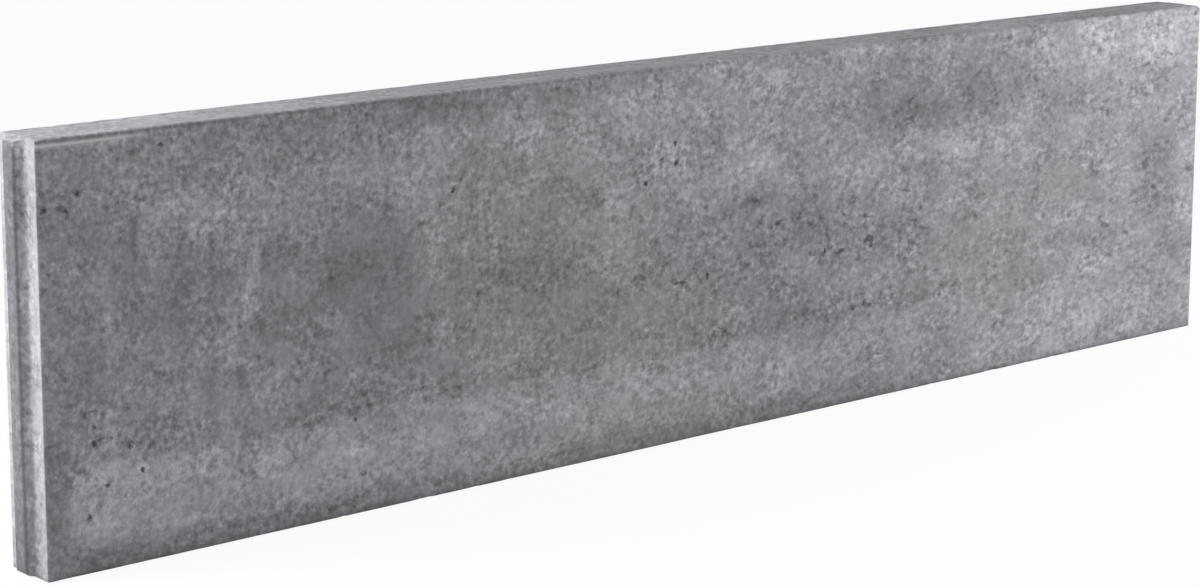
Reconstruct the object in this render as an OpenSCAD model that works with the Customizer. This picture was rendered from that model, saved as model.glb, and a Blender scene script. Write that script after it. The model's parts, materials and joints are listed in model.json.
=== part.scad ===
// Concrete kerb stone for lawn and path edges, with a tongue on one end and a groove on the other.
// It stands on its bedding edge. X runs along the stone from tongue to groove, Y through its
// thickness from the fair face to the back, and Z up. The origin is under the middle of the stone.

/* [Stone] */
// Laying length of the stone, shoulder to shoulder, without the tongue
stone_length = 1000; // [500:10:1200]
// Height of the stone as it stands
stone_height = 250; // [150:5:400]
// Thickness of the stone
stone_thickness = 40; // [40:1:80]

/* [Eased edges] */
// Radius of the long edges, top and bottom
long_edge_radius = 3; // [1:0.5:6]
// Radius of the four corners of the large faces
face_corner_radius = 3; // [2:0.5:12]
// Radius of the upright edges at the two ends
upright_edge_radius = 1.5; // [0.5:0.5:4]

/* [Tongue and groove] */
// How far the tongue stands out of its end
tongue_depth = 6; // [6:0.5:9]
// Width of the tongue at its root, where the lines of its flanks reach the end
tongue_root_width = 14; // [12:1:18]
// Width of the tongue at its tip, before its edges are rounded
tongue_tip_width = 11; // [8:1:12]
// Radius of the tongue's two long tip edges
tongue_tip_radius = 2; // [1:0.5:2]
// Radius of the coves at the tongue's root, and of the groove's lips
tongue_root_radius = 3.5; // [1:0.5:3.5]
// How far the tongue stops short of the stone's top and bottom
tongue_end_gap = 2; // [0:1:20]
// Radius that rounds the tongue off at its top and bottom
tongue_end_radius = 4; // [2:0.5:4]
// Room between the tongue and the groove that takes it, on every side
groove_clearance = 1; // [0.5:0.5:2]

/* [Hidden] */

$fn = 64;

concrete_grey = [0.56, 0.56, 0.58];

// The tongue counts in the overall length, so the block itself sits half its depth off the middle
body_shift = tongue_depth / 2;
tongue_end_x = body_shift - stone_length / 2;
groove_end_x = body_shift + stone_length / 2;

// The outline runs on past its root, into the body for the tongue and out of the end for the groove
root_overrun = 12;

// Rectangle about the origin with its four corners rounded to a true arc
module eased_rectangle(width, height, radius) {
  square([width - 2 * radius, height], center = true);
  square([width, height - 2 * radius], center = true);
  for (side_x = [-1, 1], side_y = [-1, 1]) {
    translate([side_x * (width / 2 - radius), side_y * (height / 2 - radius)])
      circle(r = radius);
  }
}

// Plan of the tongue, root on the Y axis and tip towards -X. The flanks taper. Each tip corner is an arc that
// meets the tip and the flank without a break, and a cove does the same between the flank and the end.
module tongue_outline(depth, root_width, tip_width, tip_radius, root_radius) {
  flank_angle = atan2((root_width - tip_width) / 2, depth);
  flank_direction = [cos(flank_angle), sin(flank_angle)];
  // How far along its two sides a corner's arc begins, for a radius of one
  unit_tangent = 1 / tan((90 + flank_angle) / 2);
  tip_y = tip_width / 2 - tip_radius * unit_tangent;
  shoulder_y = root_width / 2 + root_radius * unit_tangent;
  flank_start = [-depth, tip_width / 2] + tip_radius * unit_tangent * flank_direction;
  flank_end = [0, root_width / 2] - root_radius * unit_tangent * flank_direction;
  half = [[root_overrun, shoulder_y], [0, shoulder_y], flank_end, flank_start, [-depth, tip_y]];
  other_half = [for (i = [len(half) - 1:-1:0]) [half[i].x, -half[i].y]];
  difference() {
    union() {
      polygon(concat(half, other_half));
      for (side = [-1, 1]) {
        translate([tip_radius - depth, side * tip_y])
          circle(r = tip_radius);
      }
    }
    for (side = [-1, 1]) {
      translate([-root_radius, side * shoulder_y])
        circle(r = root_radius);
    }
  }
}

// The cast block: where its end section, its front and its plan all overlap, so every edge is eased
module eased_block() {
  intersection() {
    rotate([90, 0, 90])
      linear_extrude(height = stone_length, center = true)
        eased_rectangle(stone_thickness, stone_height, long_edge_radius);
    rotate([90, 0, 0])
      linear_extrude(height = stone_thickness, center = true)
        eased_rectangle(stone_length, stone_height, face_corner_radius);
    linear_extrude(height = stone_height, center = true)
      eased_rectangle(stone_length, stone_thickness, upright_edge_radius);
  }
}

// Upright rib on the -X end, rounded off before it reaches the top and the bottom
module tongue() {
  tongue_height = stone_height - 2 * tongue_end_gap;
  profile_length = tongue_depth + root_overrun;
  intersection() {
    linear_extrude(height = tongue_height, center = true)
      tongue_outline(
        tongue_depth, tongue_root_width, tongue_tip_width, tongue_tip_radius, tongue_root_radius
      );
    translate([profile_length / 2 - tongue_depth, 0, 0])
      rotate([90, 0, 0])
        linear_extrude(height = stone_thickness, center = true)
          eased_rectangle(profile_length, tongue_height, tongue_end_radius);
  }
}

// Channel in the +X end, open at the top and the bottom: the tongue's plan with room all round
module groove() {
  linear_extrude(height = 2 * stone_height, center = true)
    tongue_outline(
      tongue_depth + groove_clearance,
      tongue_root_width + 2 * groove_clearance,
      tongue_tip_width + 2 * groove_clearance,
      tongue_tip_radius,
      tongue_root_radius
    );
}

module kerb_stone() {
  color(concrete_grey)
    translate([0, 0, stone_height / 2])
      difference() {
        union() {
          translate([body_shift, 0, 0]) eased_block();
          translate([tongue_end_x, 0, 0]) tongue();
        }
        translate([groove_end_x, 0, 0]) groove();
      }
}

kerb_stone();
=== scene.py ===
# Concrete kerb stone: its cast skin with tongue and groove, the concrete, the studio and the camera
import json
import math

import bpy
import numpy as np
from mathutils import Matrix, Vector


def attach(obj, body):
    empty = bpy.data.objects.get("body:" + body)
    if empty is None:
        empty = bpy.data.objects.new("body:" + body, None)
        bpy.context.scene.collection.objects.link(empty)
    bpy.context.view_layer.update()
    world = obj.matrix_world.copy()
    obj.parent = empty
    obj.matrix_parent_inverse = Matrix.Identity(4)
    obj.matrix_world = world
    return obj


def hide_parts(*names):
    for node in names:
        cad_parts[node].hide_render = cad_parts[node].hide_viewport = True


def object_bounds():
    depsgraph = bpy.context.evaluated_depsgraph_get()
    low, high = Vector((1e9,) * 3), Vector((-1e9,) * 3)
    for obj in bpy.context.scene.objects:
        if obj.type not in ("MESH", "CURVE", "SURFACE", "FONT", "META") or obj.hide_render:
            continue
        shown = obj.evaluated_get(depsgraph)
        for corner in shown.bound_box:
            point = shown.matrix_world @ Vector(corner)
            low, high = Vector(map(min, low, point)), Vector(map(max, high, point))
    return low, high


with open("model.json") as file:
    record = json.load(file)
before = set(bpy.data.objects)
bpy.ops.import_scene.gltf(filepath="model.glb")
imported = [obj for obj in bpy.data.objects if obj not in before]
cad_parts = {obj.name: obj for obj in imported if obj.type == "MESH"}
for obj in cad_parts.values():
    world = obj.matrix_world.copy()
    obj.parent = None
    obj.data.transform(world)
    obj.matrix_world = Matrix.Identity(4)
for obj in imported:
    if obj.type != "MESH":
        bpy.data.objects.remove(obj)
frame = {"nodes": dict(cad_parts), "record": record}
cadLow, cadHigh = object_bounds()  # the box that the plain solid fills
print("frame loaded:", ", ".join(frame["nodes"]))

mm = 0.001  # metres in a millimetre

# Where the end faces stand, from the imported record: the tongue's root and the groove's mouth
mountPlace = {mount["name"]: mount["pos_m"] for mount in frame["record"]["mounts"]}


# Shape of the stone

stoneValues = {  # sizes in mm
    "longEdgeRadius": 3.0,  # easing along the top and bottom
    "faceCornerRadius": 3.0,  # corners of the two large faces
    "wornCornerRadius": 7.0,  # the upper corner at the groove end, rubbed round
    "uprightEdgeRadius": 1.5,  # easing up the ends
    "tongueRootWidth": 14.0,
    "tongueTipWidth": 11.0,
    "tongueTipRadius": 2.0,
    "tongueRootRadius": 3.5,  # coves beside the tongue, lips of the groove
    "tongueEndGap": 2.0,  # the tongue stops this far from top and bottom
    "tongueEndRadius": 4.0,
    "grooveClearance": 1.0,
    "alongStep": 3.6,  # grid spacing along the stone
    "upStep": 2.75,  # grid spacing up the stone
    "endOffsets": (0, 0.4, 0.9, 1.5, 2.3, 3.5, 5.0, 7.2),  # grid lines in from the two ends
    "topOffsets": (0, 0.6, 1.3, 2.1, 3.0, 3.8, 4.6, 5.6, 7.4),  # in from the top and the bottom
    "faceOffsets": (0, 0.4, 0.9, 1.5, 2.2, 3.0, 4.4, 6.5),  # in from the front and the back
    "arcLines": 4,  # grid lines over a tip arc, and over a root cove
    "coveLines": 5,
    "slack": 0.01,  # for points that lie just on the tongue's ends
    "skinAllowance": 0.25,  # how far the worn skin lies inside the clean solid
    "waveDepth": 0.3,  # slow hollows left by the mould
    "waveSize": 70.0,
    "rippleDepth": 0.14,  # short dips between them
    "rippleSize": 11.0,
    "chipDepth": 0.8,  # bites out of the edges
    "chipSize": 8.0,
    "chipReach": 2.6,
    "chipSpan": (0.6, 0.9),  # noise from a whole edge to a full bite
    "seamHeight": 0.35,  # thin flash line under the top edge, by the tongue
    "seamDrop": 4.6,
    "seamWidth": 1.0,
    "seamLength": 80.0,
    "seamFade": 0.6,  # share of its length where it starts to sink
    "shadeDrop": 2.2,  # painted shadow line between the top edge and the flash line
    "shadeWidth": 0.8,
    "shadeFades": [(60, 200, 0.6), (450, 750, 0.4)],  # start and end along, and the share lost there
    "grainScales": (1.1, 0.7),  # scale of the grain along the stone, by the tongue and by the groove
    "seeds": {"waves": 4, "ripples": 14, "chips": 24, "wander": 34, "patches": 44},
}


# Grid lines close together at both ends of a span, at the given offsets, and evenly spaced between them
def gridLines(low, high, offsets, step):
    offsets = np.asarray(offsets)
    inner = high - low - 2 * offsets[-1]
    even = np.linspace(low + offsets[-1], high - offsets[-1], round(inner / step) + 1)
    return np.concatenate([low + offsets[:-1], even, high - offsets[-2::-1]])


# Skin of a lattice: the points on its six sides are numbered once, and each side is a grid of quads
# between those numbers, so the sides share their edges and the skin is closed
def latticeSkin(linesX, linesY, linesZ):
    outer = np.zeros((len(linesX), len(linesY), len(linesZ)), bool)
    outer[[0, -1]] = True
    outer[:, [0, -1]] = True
    outer[:, :, [0, -1]] = True
    number = np.full(outer.shape, -1)
    number[outer] = np.arange(outer.sum())
    lattice = np.meshgrid(linesX, linesY, linesZ, indexing="ij")
    points = np.stack([axis[outer] for axis in lattice], axis=1)
    sides = [
        number[0].T, number[-1],  # tongue end and groove end
        number[:, 0], number[:, -1].T,  # front and back
        number[:, :, 0].T, number[:, :, -1],  # bottom and top
    ]
    quads = [
        np.stack([side[:-1, :-1], side[1:, :-1], side[1:, 1:], side[:-1, 1:]], axis=-1).reshape(-1, 4)
        for side in sides
    ]
    return points, np.concatenate(quads)


# Eased edge: where a point is within the radius of two sides, it moves in to the arc of the edge
def easeEdges(first, second, halfFirst, halfSecond, radius):
    overFirst = np.abs(first) - (halfFirst - radius)
    overSecond = np.abs(second) - (halfSecond - radius)
    reach = np.hypot(overFirst, overSecond)
    near = (overFirst > 0) & (overSecond > 0) & (reach > radius)
    pull = np.where(near, 1 - radius / np.maximum(reach, radius), 0.0)
    return first - np.sign(first) * overFirst * pull, second - np.sign(second) * overSecond * pull


# Where the tongue's plan changes, out from its middle: end of the flat tip, end of the tip arc, start of
# the root cove, and the cove's end on the shoulder. Both arcs meet the flank a tangent's length from its
# corners.
def ribBreaks(depth, rootHalf, tipHalf, tipRadius, rootRadius):
    lean = math.atan2(rootHalf - tipHalf, depth)
    unitTangent = 1 / math.tan((math.pi / 2 + lean) / 2)
    tipTangent, rootTangent = tipRadius * unitTangent, rootRadius * unitTangent
    arcEnd = tipHalf + tipTangent * math.sin(lean)
    coveStart = rootHalf - rootTangent * math.sin(lean)
    return tipHalf - tipTangent, arcEnd, coveStart, rootHalf + rootTangent


# Height of the tongue across its width: flat tip, an arc of the tip radius, a straight flank, and a cove of
# the root radius that dies away on the shoulder
def ribHeight(across, depth, rootHalf, tipHalf, tipRadius, rootRadius):
    flatEnd, arcEnd, coveStart, coveEnd = ribBreaks(depth, rootHalf, tipHalf, tipRadius, rootRadius)
    across = np.abs(across)
    arc = depth - tipRadius + np.sqrt(np.maximum(tipRadius**2 - np.maximum(across - flatEnd, 0) ** 2, 0))
    flank = depth * (rootHalf - across) / (rootHalf - tipHalf)
    cove = rootRadius - np.sqrt(np.maximum(rootRadius**2 - (coveEnd - across) ** 2, 0))
    return np.select([across <= arcEnd, across < coveStart, across < coveEnd], [arc, flank, cove], 0.0)


# Random numbers on a cubic lattice of the given cell, blended between its points by a smooth step: 0 to 1
def cellNoise(points, cell, seed):
    size = 64
    table = np.random.default_rng(seed).random((size, size, size))
    scaled = points / cell
    corner = np.floor(scaled).astype(int)
    part = scaled - corner
    part = part * part * (3 - 2 * part)
    total = np.zeros(len(points))
    for step in np.ndindex(2, 2, 2):
        share = np.prod(np.where(step, part, 1 - part), axis=1)
        total += share * table[tuple(((corner + step) % size).T)]
    return total


# Clouds: noise of the given cell plus half as much of half the cell, and so on, 0 to 1
def cloudNoise(points, cell, seed, layers=4):
    shares = 0.5 ** np.arange(layers)
    total = sum(share * cellNoise(points, cell * share, seed + k) for k, share in enumerate(shares))
    return total / shares.sum()


# Normal at each point: the sum of the crossed diagonals of the quads round it, at unit length
def skinNormals(points, quads):
    a, b, c, d = (points[quads[:, k]] for k in range(4))
    facing = np.cross(c - a, d - b)
    normals = np.zeros_like(points)
    for k in range(4):
        np.add.at(normals, quads[:, k], facing)
    return normals / np.linalg.norm(normals, axis=1, keepdims=True)


# Slow step from 0 to 1 between two values
def smoothRise(values, start, end):
    part = np.clip((values - start) / (end - start), 0, 1)
    return part * part * (3 - 2 * part)


# One where the skin faces the front, falling to none where it turns away
def frontFacing(normals):
    return smoothRise(-normals[:, 1], *finishValues["frontSpan"])


# Stains on the front face: (middle along from the tongue's shoulder, middle up, half length, half height,
# strength), in mm. Lime bloom is what the damp stone sweated out, and veins edge its dried films. Damp skin
# dried last, in drips below the top. Smooth skin is rich in cement, lean skin shows its sand, and blowholes
# gather where the mix was stiff. The tints are a faint cast of clay and a faint cold one by the tongue.
stainValues = {
    "limeAndPaintedLight": [
        (43, 132, 4, 80, 0.8), (190, 203, 95, 13, 0.5), (135, 150, 6, 45, 0.7), (158, 166, 18, 12, 0.25),
        (408, 165, 4, 38, 1.3), (515, 218, 150, 50, 1.05), (540, 177, 58, 17, 1.3), (740, 170, 85, 12, 0.9),
        (805, 188, 18, 14, 0.8), (850, 172, 30, 14, 0.6), (785, 122, 34, 26, 0.6), (310, 78, 70, 14, 0.35),
        (85, 92, 50, 16, 0.35), (345, 14, 60, 12, 0.4), (760, 244, 330, 5, 0.5), (775, 236, 45, 14, 0.5),
        (930, 240, 105, 40, 1.4), (992, 150, 12, 110, 0.45), (830, 25, 110, 35, 0.55),
        (330, 38, 330, 7, 0.5),
    ],
    "dampAndShadeLine": [
        (26, 160, 32, 70, 0.45), (300, 240, 110, 14, 0.85), (90, 167, 38, 30, 0.75), (150, 160, 13, 30, 0.6),
        (222, 145, 36, 40, 0.9), (710, 204, 100, 22, 0.9), (555, 150, 45, 6, 0.5), (952, 125, 22, 65, 0.5),
        (600, 128, 130, 18, 0.4), (340, 110, 60, 40, 0.2), (6, 50, 12, 60, 1.0), (18, 8, 36, 11, 1.1),
        (560, 10, 90, 10, 0.6), (968, 74, 30, 20, 0.85), (595, 62, 40, 28, 0.35),
    ],
    "dripRuns": [
        (105, 140, 80, 85, 1.3), (300, 150, 60, 80, 0.5), (520, 170, 160, 60, 0.4), (940, 130, 60, 90, 0.6),
    ],
    "limeVeins": [(115, 150, 60, 60, 1.0), (411, 157, 24, 40, 0.6), (250, 90, 60, 40, 0.4)],
    "smoothSkin": [
        (200, 125, 90, 45, 0.8), (280, 60, 45, 28, 0.7), (180, 34, 120, 14, 0.6), (570, 146, 60, 14, 0.5),
        (852, 130, 36, 18, 0.6), (890, 125, 170, 160, 0.45),
    ],
    "leanSkin": [
        (35, 80, 45, 32, 1.0), (12, 140, 16, 95, 0.6), (460, 190, 30, 14, 0.8), (75, 170, 90, 90, 0.8),
    ],
    "blowholes": [
        (630, 125, 130, 20, 1.0), (490, 109, 32, 10, 1.0), (640, 62, 80, 15, 0.7), (440, 192, 32, 16, 0.9),
        (345, 122, 60, 18, 0.8), (35, 80, 40, 34, 1.1), (30, 215, 36, 15, 0.9), (700, 205, 110, 24, 0.7),
        (790, 95, 60, 20, 0.3), (955, 215, 40, 20, 0.6), (440, 140, 230, 80, 0.35),
    ],
    "warmTint": [
        (355, 135, 70, 65, 0.35), (440, 80, 60, 34, 0.35), (430, 15, 90, 20, 0.35), (770, 85, 50, 40, 0.35),
        (850, 133, 20, 9, 0.8),
    ],
    "coolTint": [(50, 130, 110, 150, 0.5)],
}
bandValues = {  # mm: smooth pale band above the foot, round at its tongue end, and lost towards the groove
    "start": 33.0,
    "height": 38.0,
    "half": 23.0,
    "soft": 5.0,
    "fadeStart": 380.0,
    "fadeEnd": 900.0,
    "strength": 1.0,
}
footValues = {  # painted contact shade: a dark line along the foot
    "height": 4.2,  # mm
    "raggedness": 4.0,  # mm
    "span": (0.1, 1.9),  # shares of its height from full shade to none
    "strength": 0.88,
}
finishValues = {  # sizes and places in mm
    "frontSpan": (0.3, 0.9),  # how squarely skin faces the front, from not counted to counted in full
    "sideSpan": (0.5, 0.9),  # the same for the top and the ends
    "wanderSize": 38.0,  # clouds that make the edges of stains wander
    "patchSize": 130.0,  # clouds of lime and damp on the sides that have no stains of their own
    "patchStrength": 0.5,
    "limePatches": (0.5, 0.2),  # clouds from plain skin to lime, and to damp
    "dampPatches": (0.55, 0.8),
    "topPaintedLight": 0.75,  # painted light on the top by the tongue, lost along the stone between these places
    "topLightSpan": (50, 650),
    "flankPaintedLight": 1.0,  # painted light on the tongue's shaded flanks, from none to full in shares of its depth
    "flankSpan": (0.05, 0.3),
    "tipDamp": 1.6,  # damp on its tip, in the same way
    "tipSpan": (0.6, 0.8),
    "shoulderPaleAndShade": 1.4,  # paler skin on the ends beside tongue and groove, with painted shade close to the tongue's root
    "shoulderWander": (0.9, 0.5),  # its middle and how far clouds swing it
    "shoulderInside": 1.0,  # starts this far inside the tongue's root, and is full this far from its middle
    "shoulderReach": 12.5,
    "rubbedReach": (1.8, 5.0),  # how far the upright edges are rubbed pale, on the faces and the ends
    "rubbedStrength": 0.4,
    "rubbedLoss": 0.4,  # share of it that the front goes without
    "leastBlowholes": 0.3,
}


# Strength of one kind of stain: each patch is a bell over its half sizes, the highest one counts, and its
# edge wanders because the place is shifted by clouds first
def stainStrength(kind, along, up, wander):
    total = np.zeros(len(along))
    for middleX, middleZ, halfX, halfZ, strength in stainValues[kind]:
        far = ((along + wander[0] * halfX - middleX) / halfX) ** 2
        far = far + ((up + wander[1] * halfZ - middleZ) / halfZ) ** 2
        total = np.maximum(total, strength * np.exp(-far))
    return total


# The pale band: full within its half height of a line along the stone, whose end makes the band's end round
def paleBand(along, up, wander, values):
    soft = values["soft"]
    apart = np.hypot(np.maximum(values["start"] - along, 0), up - values["height"]) + soft * wander[0]
    inside = 1 - smoothRise(apart, values["half"] - soft, values["half"] + soft)
    return values["strength"] * inside * (1 - smoothRise(along, values["fadeStart"], values["fadeEnd"]))


# Place along the stone for the fine grain: its scale goes evenly from one value to another over the length,
# and the place is the sum of that scale from the shoulder on
def drawnPlace(along, scales, length):
    return scales[0] * along + (scales[1] - scales[0]) * along**2 / (2 * length)


# What the concrete reads at each point, kind by kind: the front has its own stains, the other sides have
# clouds, lime and damp lie on the ends and the tongue, and painted light lies on the top by the tongue and
# on the tongue's flanks, with painted shade beside the tongue's root, under the top edge and along the foot,
# and a painted highlight on the flash line
def stoneFinish(points, normals, along, gaps, lines, tongueDepth, rootHalf, seeds, values):
    up = points[:, 2]
    front = frontFacing(normals)
    other = values["patchStrength"] * (1 - front)
    wander = [2 * cloudNoise(points, values["wanderSize"], seeds["wander"] + k) - 1 for k in range(2)]
    patchy = cloudNoise(points, values["patchSize"], seeds["patches"])
    stain = {kind: front * stainStrength(kind, along, up, wander) for kind in stainValues}

    topFace = smoothRise(normals[:, 2], *values["sideSpan"])
    topPale = topFace * (1 - smoothRise(along, *values["topLightSpan"]))
    flanks, tip = (smoothRise(-along / tongueDepth, *values[span]) for span in ("flankSpan", "tipSpan"))
    plain, swing = values["shoulderWander"]
    # Ends paler away from the tongue's root: pale skin, and painted shade close to the root
    shoulders = smoothRise(np.abs(normals[:, 0]), *values["sideSpan"]) * (plain + swing * wander[1])
    inside = rootHalf - values["shoulderInside"]
    shoulders = shoulders * smoothRise(np.abs(points[:, 1]), inside, values["shoulderReach"])
    limed, damp = (other * smoothRise(patchy, *values[span]) for span in ("limePatches", "dampPatches"))
    stain["limeAndPaintedLight"] += front * paleBand(along, up, wander, bandValues)
    # Lime clouds, and painted light on the top by the tongue
    stain["limeAndPaintedLight"] += limed + values["topPaintedLight"] * topPale
    # Painted light on the tongue's flanks, and the ends paler away from the tongue's root, with painted
    # shade close to it
    stain["limeAndPaintedLight"] += values["flankPaintedLight"] * flanks + values["shoulderPaleAndShade"] * shoulders
    # Damp also carries the painted shadow line under the top edge
    stain["dampAndShadeLine"] += damp + lines["topLine"] + values["tipDamp"] * tip

    foot = footValues["height"] + footValues["raggedness"] * wander[0]
    faceReach, endReach = values["rubbedReach"]
    rubbed = np.exp(-(np.maximum(gaps[:, 0] / faceReach, gaps[:, 1] / endReach) ** 2))
    rubbed = values["rubbedStrength"] * rubbed * (1 + wander[1]) * (1 - values["rubbedLoss"] * front)
    # Pale rubbed edges, and a painted highlight along the flash line
    stain["wornEdgeAndHighlight"] = rubbed + lines["seam"]
    # Painted contact shade along the foot, darkest at the bottom edge
    stain["dampFoot"] = footValues["strength"] * (1 - smoothRise(up / foot, *footValues["span"]))
    stain["struckTop"] = topFace
    stain["blowholes"] = np.maximum(stain["blowholes"], values["leastBlowholes"])
    bareness = stain.pop("leanSkin") - stain.pop("smoothSkin") - topFace  # the top was struck off smooth
    stain["openGrain"] = np.clip(0.5 + 0.5 * bareness, 0, 1)
    return stain


# The cast stone: a closed lattice skin over the block, with the groove pushed in at one end and the tongue
# drawn out at the other, eased edges, and worn skin that lies just inside the clean solid
def makeStone(values):
    low = np.array(cadLow) / mm
    high = np.array(cadHigh) / mm
    shoulderX = mountPlace["tongue"][0] / mm
    tongueDepth = shoulderX - low[0]
    clearance = values["grooveClearance"]
    rootHalf, tipHalf = values["tongueRootWidth"] / 2, values["tongueTipWidth"] / 2
    radii = (values["tongueTipRadius"], values["tongueRootRadius"])
    tonguePlan = (tongueDepth, rootHalf, tipHalf, *radii)
    groovePlan = (tongueDepth + clearance, rootHalf + clearance, tipHalf + clearance, *radii)
    halfSize = np.array([high[0] - shoulderX, high[1] - low[1], high[2] - low[2]]) / 2
    middle = np.array([(high[0] + shoulderX) / 2, 0.0, halfSize[2]])

    # Lines crowd towards the edges and over the arcs of tongue and groove
    linesX = gridLines(shoulderX, high[0], values["endOffsets"], values["alongStep"])
    linesZ = gridLines(low[2], high[2], values["topOffsets"], values["upStep"])
    ribLines = []
    for plan in (tonguePlan, groovePlan):
        flatEnd, arcEnd, coveStart, coveEnd = ribBreaks(*plan)
        ribLines += [*np.linspace(flatEnd, arcEnd, values["arcLines"])]
        ribLines += [*np.linspace(coveStart, coveEnd, values["coveLines"])]
    edgeLines = halfSize[1] - np.array(values["faceOffsets"])[::-1]
    halfLines = np.concatenate([np.sort(ribLines), edgeLines])
    linesY = np.concatenate([-halfLines[::-1], [0.0], halfLines])
    points, quads = latticeSkin(linesX, linesY, linesZ)
    print("kerb stone skin:", len(points), "points,", 2 * len(quads), "triangles")

    # How far each point is from the nearest edge of the square block: the middle one of its three gaps
    gaps = halfSize - np.abs(points - middle)
    edgeGap = np.sort(gaps, axis=1)[:, 1]
    atTongueEnd = points[:, 0] == shoulderX

    # The groove pushes the last stretch of the lattice, twice its depth long, back along the stone
    squeeze = 2 * groovePlan[0]
    share = np.clip((points[:, 0] - (high[0] - squeeze)) / squeeze, 0, 1)
    points[:, 0] -= share * ribHeight(points[:, 1], *groovePlan)

    # Eased edges, one pair of directions after the other
    x, y, z = (points - middle).T
    y, z = easeEdges(y, z, halfSize[1], halfSize[2], values["longEdgeRadius"])
    wornCorner = (x > 0) & (z > 0)
    x, z = easeEdges(x, z, halfSize[0], halfSize[2], values["faceCornerRadius"])
    roundX, roundZ = easeEdges(x, z, halfSize[0], halfSize[2], values["wornCornerRadius"])
    x, z = np.where(wornCorner, roundX, x), np.where(wornCorner, roundZ, z)
    x, y = easeEdges(x, y, halfSize[0], halfSize[1], values["uprightEdgeRadius"])
    points = np.stack([x, y, z], axis=1) + middle

    # The tongue stands out of its end and rounds off before the top and the bottom
    inFromEnd = halfSize[2] - np.abs(points[:, 2] - middle[2]) - values["tongueEndGap"]
    endRadius = values["tongueEndRadius"]
    fromArc = np.clip(endRadius - inFromEnd, 0, endRadius)
    endLimit = tongueDepth - endRadius + np.sqrt(endRadius**2 - fromArc**2)
    tongueHeight = ribHeight(points[:, 1], *tonguePlan)
    onTongue = atTongueEnd & (inFromEnd >= -values["slack"])
    points[:, 0] -= np.where(onTongue, np.minimum(tongueHeight, endLimit), 0)

    # Worn skin: slow waves, short dips, bites out of the edges, and the flash line that stays proud of them
    normals = skinNormals(points, quads)
    seeds = values["seeds"]
    along = points[:, 0] - shoulderX
    up = points[:, 2]
    waves = values["waveDepth"] * cloudNoise(points, values["waveSize"], seeds["waves"])
    ripples = values["rippleDepth"] * cloudNoise(points, values["rippleSize"], seeds["ripples"])
    bites = cloudNoise(points, values["chipSize"], seeds["chips"], layers=2)
    bites = smoothRise(bites, *values["chipSpan"])
    bites = bites * np.exp(-((edgeGap / values["chipReach"]) ** 2)) * values["chipDepth"]
    front = frontFacing(normals)
    seam = np.exp(-(((high[2] - up - values["seamDrop"]) / values["seamWidth"]) ** 2))
    seam = seam * front * (1 - smoothRise(along / values["seamLength"], values["seamFade"], 1))
    inset = values["skinAllowance"] + waves + ripples + bites - values["seamHeight"] * seam
    points = points - normals * np.maximum(inset, 0)[:, None]

    # Painted shadow line just under the top edge, fading along the stone
    topLine = np.exp(-(((high[2] - up - values["shadeDrop"]) / values["shadeWidth"]) ** 2)) * front
    topLine = topLine * (1 - sum(lost * smoothRise(along, *span) for *span, lost in values["shadeFades"]))
    lines = {"seam": seam, "topLine": topLine}
    stain = stoneFinish(points, normals, along, gaps, lines, tongueDepth, rootHalf, seeds, finishValues)
    stain["grainAlong"] = drawnPlace(along, values["grainScales"], high[0] - shoulderX) * mm

    mesh = bpy.data.meshes.new("kerb_stone_cast")
    mesh.from_pydata((points * mm).tolist(), [], quads.tolist())
    for name, amounts in stain.items():
        layer = mesh.attributes.new(name, "FLOAT", "POINT")
        layer.data.foreach_set("value", amounts.astype(np.float32))
    mesh.shade_smooth()
    mesh.validate()
    stone = bpy.data.objects.new("kerb_stone_cast", mesh)
    bpy.context.scene.collection.objects.link(stone)
    return stone


# Concrete

# sRGB hex to linear: each channel over 255 with the display curve undone
def linearColour(hexText):
    channels = np.array([int(hexText[k : k + 2], 16) for k in (1, 3, 5)]) / 255
    linear = np.where(channels <= 0.04045, channels / 12.92, ((channels + 0.055) / 1.055) ** 2.4)
    return (*linear.tolist(), 1.0)


# Repeats in a metre for a pattern whose marks are this many mm across
def perMetre(size):
    return 1000.0 / size


# One node with its settings; a link or a plain value goes into each named or numbered socket
def addNode(tree, kind, settings=None, sockets=None):
    node = tree.nodes.new("ShaderNode" + kind)
    for name, value in (settings or {}).items():
        setattr(node, name, value)
    for socket, value in (sockets or {}).items():
        if isinstance(value, bpy.types.NodeSocket):
            tree.links.new(value, node.inputs[socket])
        else:
            node.inputs[socket].default_value = value
    return node


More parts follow.
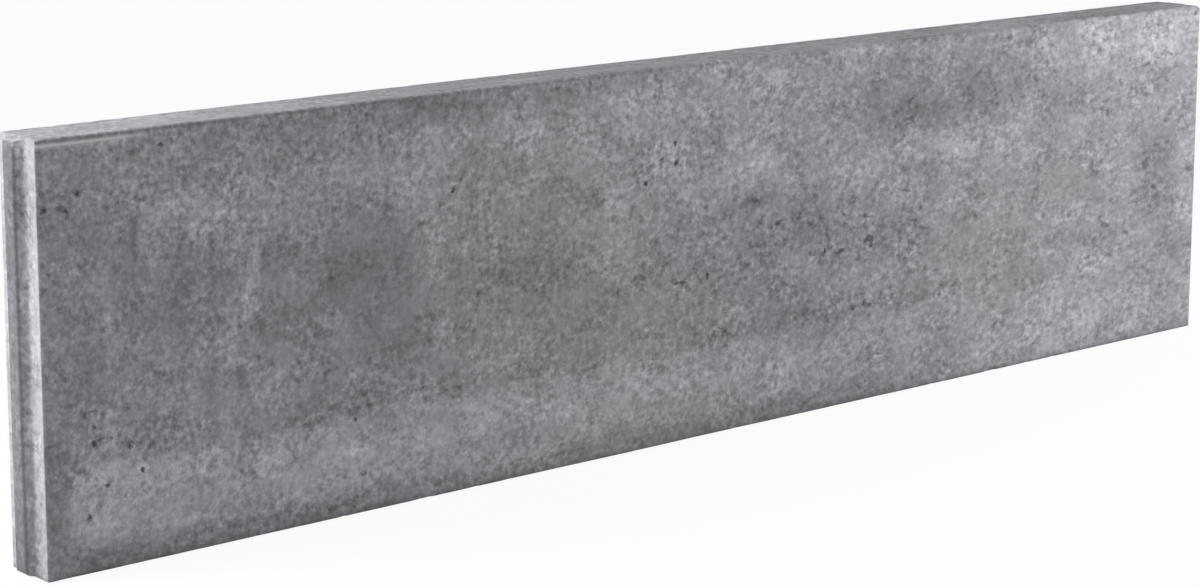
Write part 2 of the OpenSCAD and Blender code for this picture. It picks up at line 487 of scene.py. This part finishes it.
concreteValues = {
    "tones": [(0.0, "#464649"), (0.25, "#6a6a6e"), (0.5, "#8e8e93"), (0.75, "#b2b2b8"), (1.0, "#d6d6dd")],
    "middleTone": 0.45,
    "stainColours": {  # colour, and how much of it a full stain shows
        # damp skin, which also carries the painted shadow line under the top edge
        "dampAndShadeLine": ("#68686d", 0.3),
        "warmTint": ("#8c887a", 0.5),
        "coolTint": ("#7b7f82", 0.5),
        # rubbed edges, and the painted highlight on the flash line
        "wornEdgeAndHighlight": ("#bcbcc0", 1.0),
    },
    # colour of the painted contact shade along the foot
    "footShadeColour": "#4a4b4a",
    # painted shade inside the open blowholes
    "holeShadeColour": "#38383a",
    # mm across, octaves, how strongly each octave counts, and scale along, through and up the stone
    "patterns": {
        "cloud": (150.0, 4.0, 0.55, (0.6, 1.0, 1.0)),
        "mottle": (24.0, 4.0, 0.5, (0.6, 1.0, 1.0)),
        "drips": (14.0, 3.0, 0.5, (1.0, 1.0, 0.15)),  # long marks down the face
        "streaks": (4.0, 2.0, 0.5, (0.04, 1.0, 1.0)),  # drawn along the top when it was struck off
        "clumps": (20.0, 3.0, 0.6, (0.6, 1.0, 1.0)),
        "grain": (4.6, 2.0, 0.6, (1.0, 1.0, 1.0)),
        "sand": (2.4, 1.0, 0.5, (1.0, 1.0, 1.0)),  # drawn twice its size, for finer would not show
        "pits": (4.2, 1.0, 0.5, (0.7, 1.0, 1.0)),  # also drawn twice their size
    },
    "drawnPatterns": ("grain", "sand", "pits"),  # their marks get longer towards the groove
    # How far each pattern moves the tone either way
    "swings": {"cloud": 0.13, "mottle": 0.25, "drips": 0.2, "streaks": 0.15, "grain": 0.385, "sand": 0.17},
    "clumpSpan": (0.38, 0.62),  # noise from closed skin to open clump
    "bareSpan": (0.2, 1.6),  # bareness from smooth skin to lean
    "grainGain": (0.5, 1.5),  # how far smooth skin hides the sand, and lean skin shows it
    # lime also carries painted light on the top and the tongue's flanks, damp the painted shadow line
    "toneShifts": {"limeAndPaintedLight": 0.16, "dampAndShadeLine": -0.14},
    "pitSpan": (0.43, 0.27),  # noise from a pit's rim to its floor
    # painted shade darkening the pits
    "pitShade": -0.6,
    "veinSize": 70.0,  # mm
    "veinOctaves": 3.0,
    "veinBend": 0.6,  # how far the noise is bent by itself
    "veinHalf": 0.015,  # half width of a vein, in steps of the noise
    "veinAmount": 0.16,
    "footBreak": 0.6,  # how far the mottle breaks the painted foot shade up
    "footSpan": (0.15, 1.1),
    "footShare": 0.6,
    # The largest blowholes in the front: along from the tongue's shoulder, up, and radius, in mm
    "openHoles": [
        (5, 210, 2.4), (26, 217, 2.6), (19, 208, 1.8), (32, 75, 2.6), (55, 70, 1.9), (28, 33, 2.4),
        (40, 50, 2.1), (63, 55, 2.0), (80, 239, 2.0), (210, 59, 1.9), (285, 189, 2.0), (440, 176, 2.5),
        (466, 186, 2.4), (465, 199, 2.0), (494, 108, 2.8), (602, 111, 2.1),
    ],
    "holeFloor": 0.4,  # share of its radius where a hole is darkest
    "holeRag": 4.0,  # mm by which noise of this size shakes their outlines
    "holeRagSize": 2.5,
    "roughSpan": (0.3, 0.7),  # mottle from the smoothest skin to the roughest
    "roughness": (0.7, 0.92),
    "ior": 1.5,
    "reliefDepths": {"grain": 0.12, "sand": 0.05, "sunk": -0.4, "holes": -0.8},  # mm
    "struckRelief": 0.1,  # share of the relief left on the struck top
}


# Grey concrete, vibrated in a steel mould: a matt cement skin in cloudy greys with a cold cast, smooth where
# it is rich and peppered with sand and small blowholes where it is lean, with pale lime where it sweated and
# pale rubbed edges. Painted light lies on the top by the tongue and on the tongue's flanks, painted shade in
# the pits and holes, beside the tongue's root, under the top edge and along the foot, and a painted
# highlight on the flash line. Map Range takes a value in socket 0, its range in 1 and 2, and what that
# becomes in 3 and 4.
def makeConcrete(values, stainNames):
    material = bpy.data.materials.new("vibrated_grey_concrete")
    material.use_nodes = True
    tree = material.node_tree
    tree.nodes.clear()
    place = addNode(tree, "TexCoord").outputs["Object"]
    stain = {
        name: addNode(tree, "Attribute", {"attribute_name": name}).outputs["Fac"] for name in stainNames
    }

    # The fine patterns lie on the drawn place, which the mesh holds for each point
    parts = addNode(tree, "SeparateXYZ", {}, {0: place}).outputs
    grainPlace = addNode(tree, "CombineXYZ", {}, {
        0: stain["grainAlong"], 1: parts[1], 2: parts[2],
    }).outputs[0]
    pattern = {}
    for name, (size, octaves, falloff, scale) in values["patterns"].items():
        under = grainPlace if name in values["drawnPatterns"] else place
        scaled = addNode(tree, "Mapping", {}, {"Vector": under, "Scale": scale}).outputs[0]
        pattern[name] = addNode(tree, "TexNoise", {}, {
            "Vector": scaled, "Scale": perMetre(size), "Detail": octaves, "Roughness": falloff,
        }).outputs[0]

    # Sand lies open in clumps, where the cement skin is thin, and there small pits show between its grains
    closed, opened = values["clumpSpan"]
    clumped = addNode(tree, "MapRange", {}, {0: pattern["clumps"], 1: closed, 2: opened}).outputs[0]
    bare = addNode(tree, "Math", {"operation": "ADD"}, {0: stain["openGrain"], 1: clumped}).outputs[0]
    (smooth, lean), (least, most) = values["bareSpan"], values["grainGain"]
    gain = addNode(tree, "MapRange", {}, {0: bare, 1: smooth, 2: lean, 3: least, 4: most}).outputs[0]
    rim, floor = values["pitSpan"]
    sunk = addNode(tree, "MapRange", {}, {0: pattern["pits"], 1: rim, 2: floor}).outputs[0]
    for amount in (clumped, stain["blowholes"]):
        sunk = addNode(tree, "Math", {"operation": "MULTIPLY"}, {0: sunk, 1: amount}).outputs[0]
    pattern["sunk"] = sunk

    # Tone of the skin: each pattern swings it about its middle, some of them only where a stain lets them
    tone = values["middleTone"]
    shares = {"drips": stain["dripRuns"], "streaks": stain["struckTop"], "grain": gain, "sand": gain}
    for name, swing in values["swings"].items():
        swung = addNode(tree, "MapRange", {}, {0: pattern[name], 3: -swing, 4: swing}).outputs[0]
        tone = addNode(tree, "Math", {"operation": "MULTIPLY_ADD"}, {
            0: swung, 1: shares.get(name, 1.0), 2: tone,
        }).outputs[0]
    shifts = [(stain[name], shift) for name, shift in values["toneShifts"].items()]
    # The pits are darkened with painted shade, after the stains' shifts
    for amount, shift in [*shifts, (sunk, values["pitShade"])]:
        tone = addNode(tree, "Math", {"operation": "MULTIPLY_ADD"}, {
            0: amount, 1: shift, 2: tone,
        }).outputs[0]

    # A vein is where slow noise crosses its middle
    slow = addNode(tree, "TexNoise", {}, {
        "Vector": place, "Scale": perMetre(values["veinSize"]),
        "Detail": values["veinOctaves"], "Distortion": values["veinBend"],
    }).outputs[0]
    apart = addNode(tree, "Math", {"operation": "SUBTRACT"}, {0: slow, 1: 0.5}).outputs[0]
    apart = addNode(tree, "Math", {"operation": "ABSOLUTE"}, {0: apart}).outputs[0]
    vein = addNode(tree, "MapRange", {}, {
        0: apart, 2: values["veinHalf"], 3: values["veinAmount"], 4: 0.0,
    }).outputs[0]
    tone = addNode(tree, "Math", {"operation": "MULTIPLY_ADD"}, {
        0: vein, 1: stain["limeVeins"], 2: tone,
    }).outputs[0]
    ramp = addNode(tree, "ValToRGB", {}, {"Fac": tone})
    steps = ramp.color_ramp.elements
    for position, hexText in values["tones"][1:-1]:
        steps.new(position)
    for step, (position, hexText) in zip(steps, values["tones"]):
        step.position = position
        step.color = linearColour(hexText)
    colour = ramp.outputs["Color"]

    # Open blowholes, darkened inside with painted shade: the place, shaken by fine noise, is within a hole's
    # radius of its middle
    fine = addNode(tree, "TexNoise", {}, {
        "Vector": place, "Scale": perMetre(values["holeRagSize"]),
    }).outputs["Color"]
    rag = values["holeRag"] * mm
    shaken = addNode(tree, "VectorMath", {"operation": "MULTIPLY_ADD"}, {
        0: fine, 1: (rag,) * 3, 2: place,
    }).outputs[0]
    holes = 0.0
    for along, up, radius in values["openHoles"]:
        middle = (mountPlace["tongue"][0] + along * mm, cadLow[1], up * mm)
        away = addNode(tree, "VectorMath", {"operation": "DISTANCE"}, {
            0: shaken, 1: [part + rag / 2 for part in middle],
        }).outputs["Value"]
        rim, floor = radius * mm, values["holeFloor"] * radius * mm
        hole = addNode(tree, "MapRange", {}, {0: away, 1: rim, 2: floor}).outputs[0]
        holes = addNode(tree, "Math", {"operation": "MAXIMUM"}, {0: hole, 1: holes}).outputs[0]
    pattern["holes"] = holes

    # The painted contact shade along the foot is broken up by the mottle
    torn = values["footBreak"]
    ragged = addNode(tree, "MapRange", {}, {0: pattern["mottle"], 3: -torn, 4: torn}).outputs[0]
    foot = addNode(tree, "Math", {"operation": "ADD"}, {0: stain["dampFoot"], 1: ragged}).outputs[0]
    # from full painted shade at the foot to none
    unshaded, damp = values["footSpan"]
    foot = addNode(tree, "MapRange", {}, {0: foot, 1: unshaded, 2: damp, 4: values["footShare"]}).outputs[0]

    # Stains, the painted foot shade and the painted shade in the holes lie over the skin in turn; sockets 6
    # and 7 are Mix's two colours
    layers = []
    for name, (hexText, share) in values["stainColours"].items():
        part = addNode(tree, "Math", {"operation": "MULTIPLY"}, {0: stain[name], 1: share}).outputs[0]
        layers.append((part, hexText))
    for amount, hexText in [*layers, (foot, values["footShadeColour"]), (holes, values["holeShadeColour"])]:
        colour = addNode(tree, "Mix", {"data_type": "RGBA"}, {
            0: amount, 6: colour, 7: linearColour(hexText),
        }).outputs[2]

    # Relief in mm: sand and grain stand up, blowholes go in, and little of it is left on the struck top
    relief = 0.0
    for name, height in values["reliefDepths"].items():
        relief = addNode(tree, "Math", {"operation": "MULTIPLY_ADD"}, {
            0: pattern[name], 1: height, 2: relief,
        }).outputs[0]
    left = addNode(tree, "MapRange", {}, {
        0: stain["struckTop"], 3: 1.0, 4: values["struckRelief"],
    }).outputs[0]
    bump = addNode(tree, "Bump", {}, {"Height": relief, "Distance": mm, "Strength": left}).outputs[0]
    (smooth, coarse), (least, most) = values["roughSpan"], values["roughness"]
    rough = addNode(tree, "MapRange", {}, {
        0: pattern["mottle"], 1: smooth, 2: coarse, 3: least, 4: most,
    }).outputs[0]
    shader = addNode(tree, "BsdfPrincipled", {}, {
        "Base Color": colour, "Roughness": rough, "Normal": bump, "IOR": values["ior"],
    })
    addNode(tree, "OutputMaterial", {}, {"Surface": shader.outputs[0]})
    return material


stone = makeStone(stoneValues)
stainNames = [layer.name for layer in stone.data.attributes if layer.data_type == "FLOAT"]
stone.data.materials.append(makeConcrete(concreteValues, stainNames))
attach(stone, "root")
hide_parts("kerb_stone")
print("kerb stone cast")


# Studio

studioValues = {
    "floorSize": 30.0,  # m
    "floorColour": "#f2f2f2",
    "floorGlow": 0.93,  # share of plain white that the camera sees over the floor's own shade
    "ambient": 0.525,  # strength of the white surroundings
    "lamps": {  # place, aim and size in m, power in W
        "key_left": ((-1.45, 0.4, 1.0), (-0.45, 0.0, 0.2), 0.5, 18.0),
        "fill_right": ((0.8, -0.6, 0.35), (0.45, 0.0, 0.13), 0.4, 3.8),
    },
}


# One for rays from the camera, and for those it sees mirrored or through glass, otherwise none
def seenByCamera(tree):
    path = addNode(tree, "LightPath")
    seen = path.outputs["Is Camera Ray"]
    for name in ("Is Glossy Ray", "Is Transmission Ray"):
        seen = addNode(tree, "Math", {"operation": "MAXIMUM"}, {0: seen, 1: path.outputs[name]}).outputs[0]
    return seen


# Pale painted floor: matt off-white that takes the shadow, lifted towards white for the camera
def makeFloor(values):
    half = values["floorSize"] / 2
    corners = [(-half, -half, 0.0), (half, -half, 0.0), (half, half, 0.0), (-half, half, 0.0)]
    mesh = bpy.data.meshes.new("studio_floor")
    mesh.from_pydata(corners, [], [(0, 1, 2, 3)])
    floor = bpy.data.objects.new("studio_floor", mesh)
    bpy.context.scene.collection.objects.link(floor)
    material = bpy.data.materials.new("painted_studio_floor")
    material.use_nodes = True
    tree = material.node_tree
    tree.nodes.clear()
    seen = seenByCamera(tree)
    share = addNode(tree, "Math", {"operation": "MULTIPLY"}, {0: seen, 1: values["floorGlow"]})
    paint = addNode(tree, "BsdfDiffuse", {}, {"Color": linearColour(values["floorColour"])})
    white = addNode(tree, "Emission", {}, {"Color": linearColour("#ffffff"), "Strength": 1.0})
    mixed = addNode(tree, "MixShader", {}, {0: share.outputs[0], 1: paint.outputs[0], 2: white.outputs[0]})
    addNode(tree, "OutputMaterial", {}, {"Surface": mixed.outputs[0]})
    mesh.materials.append(material)
    return floor


# Even white surroundings: soft light on the stone, plain white to the camera
def makeWorld(values):
    world = bpy.data.worlds.new("studio_world")
    world.use_nodes = True
    tree = world.node_tree
    tree.nodes.clear()
    paper = linearColour("#ffffff")
    soft = addNode(tree, "Background", {}, {"Color": paper, "Strength": values["ambient"]})
    white = addNode(tree, "Background", {}, {"Color": paper, "Strength": 1.0})
    mixed = addNode(tree, "MixShader", {}, {0: seenByCamera(tree), 1: soft.outputs[0], 2: white.outputs[0]})
    addNode(tree, "OutputWorld", {}, {"Surface": mixed.outputs[0]})
    bpy.context.scene.world = world


# Round soft lamps, each turned to its aim and unseen itself
def makeLamps(values):
    for name, (place, aim, size, power) in values["lamps"].items():
        light = bpy.data.lights.new(name, "AREA")
        light.shape = "DISK"
        light.size = size
        light.energy = power
        lamp = bpy.data.objects.new(name, light)
        lamp.location = place
        lamp.rotation_euler = (Vector(aim) - Vector(place)).to_track_quat("-Z", "Y").to_euler()
        lamp.visible_camera = False
        bpy.context.scene.collection.objects.link(lamp)


makeFloor(studioValues)
makeWorld(studioValues)
makeLamps(studioValues)
print("studio lit")


# Camera

cameraValues = {
    "place": (-1.2693, -1.3921, 0.4977),  # m
    "turn": 40.14,  # degrees to the right of straight on
    "tilt": 9.765,  # degrees down
    "lens": 87.3,  # mm
    "sensor": 36.0,  # mm
    "shift": (0.0168, -0.1),  # sideways and up, in widths of the frame
}


# Camera turned about the upright and tilted down from level
def makeCamera(values):
    data = bpy.data.cameras.new("camera")
    data.sensor_width = values["sensor"]
    data.lens = values["lens"]
    data.shift_x, data.shift_y = values["shift"]
    camera = bpy.data.objects.new("camera", data)
    camera.location = values["place"]
    camera.rotation_euler = (math.radians(90 - values["tilt"]), 0.0, -math.radians(values["turn"]))
    bpy.context.scene.collection.objects.link(camera)
    bpy.context.scene.camera = camera


makeCamera(cameraValues)
bpy.context.scene.view_settings.view_transform = "Standard"
print("camera set")
